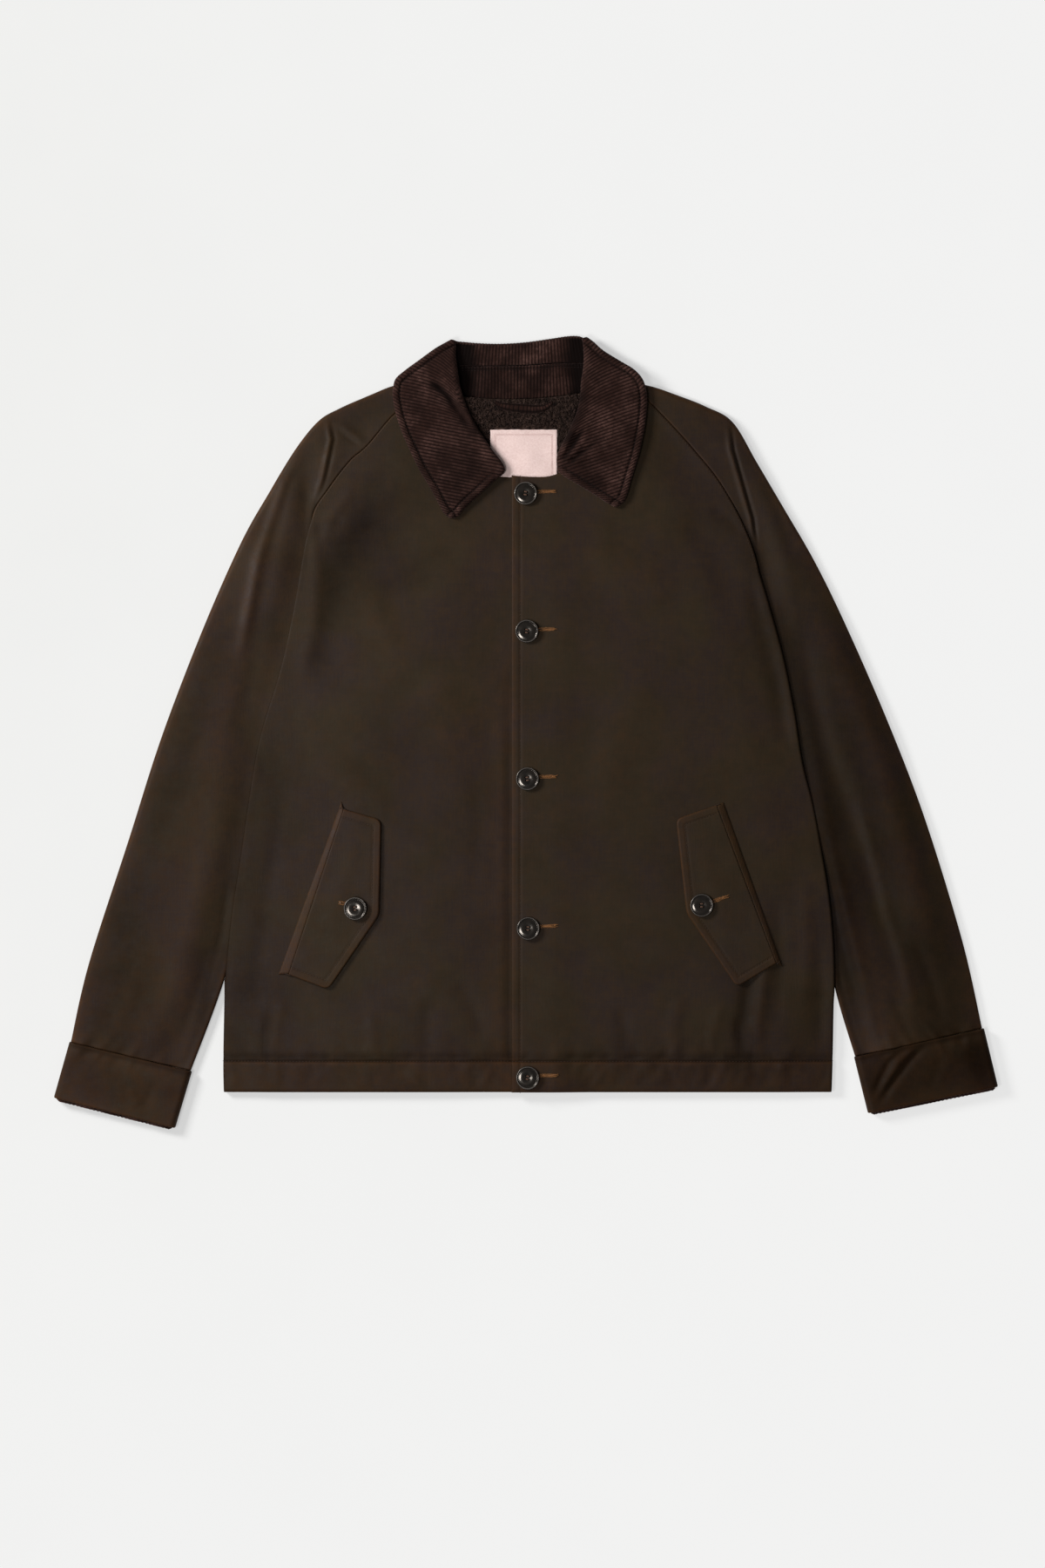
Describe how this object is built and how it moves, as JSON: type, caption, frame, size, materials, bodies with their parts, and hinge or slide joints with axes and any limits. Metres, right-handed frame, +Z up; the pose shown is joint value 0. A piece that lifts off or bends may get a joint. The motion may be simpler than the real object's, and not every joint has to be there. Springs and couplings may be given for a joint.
{
  "type": "waxed cotton jacket",
  "caption": "Waist-length waxed cotton jacket with raglan sleeves, corduroy collar, buttoned front and slanted flap pockets, laid flat on its back.",
  "frame": {"origin": "on the surface the jacket lies on, under the middle of its outline", "axes": "+X to the wearer's left, +Y from the hem to the collar, +Z up from the surface it lies on"},
  "size_m": [0.9077, 0.7636, 0.0196],
  "materials": {
    "shell": "waxed",
    "corduroy": "ribbed pile",
    "pile": "curly pile",
    "label": "woven",
    "horn": "polished"
  },
  "bodies": {
    "root": {"back": "shell", "front_right": "shell", "front_left": "shell", "sleeve_right": "shell", "sleeve_left": "shell", "cuff_right": "shell", "cuff_left": "shell", "pocket_flap_right": "shell", "pocket_flap_left": "shell", "collar_leaf_right": "corduroy", "collar_leaf_left": "corduroy", "collar_fall": "corduroy", "collar_stand_back": "corduroy", "collar_stand_right": "corduroy", "collar_stand_left": "corduroy", "cuff_facing_right": "corduroy", "cuff_facing_left": "corduroy", "hanger_loop": "corduroy", "neck_lining": "pile", "label": "label", "button_front_1": "horn", "button_front_2": "horn", "button_front_3": "horn", "button_front_4": "horn", "button_front_5": "horn", "button_flap_right": "horn", "button_flap_left": "horn"}
  },
  "joints": []
}
